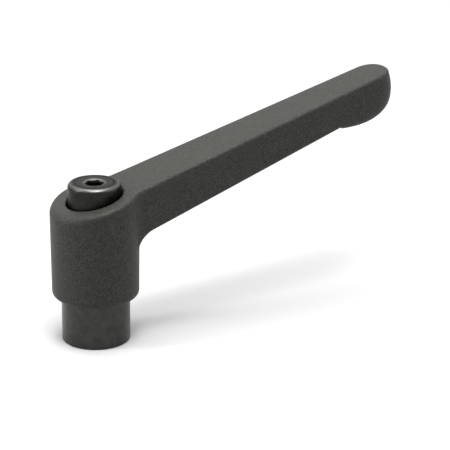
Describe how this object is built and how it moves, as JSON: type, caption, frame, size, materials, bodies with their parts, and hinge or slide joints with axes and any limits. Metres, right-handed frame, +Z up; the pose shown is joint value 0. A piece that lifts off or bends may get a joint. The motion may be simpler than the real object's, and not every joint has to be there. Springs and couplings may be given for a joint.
{
  "type": "adjustable clamping lever",
  "caption": "Clamping lever with a round hub, a rising tapered arm with a thickened rounded end, a toothed steel insert with a stud thread, and a spring-loaded retaining screw.",
  "frame": {"origin": "centre of the insert's bottom face, at the mouth of the stud thread", "axes": "+Z up the clamping axis from the clamped face to the screw head, +X along the arm, +Y completes a right-handed frame"},
  "size_m": [0.1153, 0.0256, 0.0678],
  "materials": {
    "handle_coating": "fine textured dark grey powder coat on die-cast zinc",
    "insert_steel": "blackened turned steel, satin",
    "screw_steel": "blackened steel with a bright worn bevel",
    "spring_wire": "drawn spring wire"
  },
  "bodies": {
    "insert": {"insert": "insert_steel", "retaining_screw": "screw_steel"},
    "spring": {"spring": "spring_wire"},
    "handle": {"handle": "handle_coating"}
  },
  "joints": [
    {"name": "swivel", "type": "hinge", "parent": "insert", "child": "spring", "pos_m": [0, 0, 0.03], "axis": [0, 0, 1], "continuous": true},
    {"name": "lift", "type": "slide", "parent": "spring", "child": "handle", "axis": [0, 0, 1], "range_m": [0, 0.0054], "stiffness_N_per_m": 1200, "springref_m": -0.005, "deforming": ["spring"]}
  ]
}
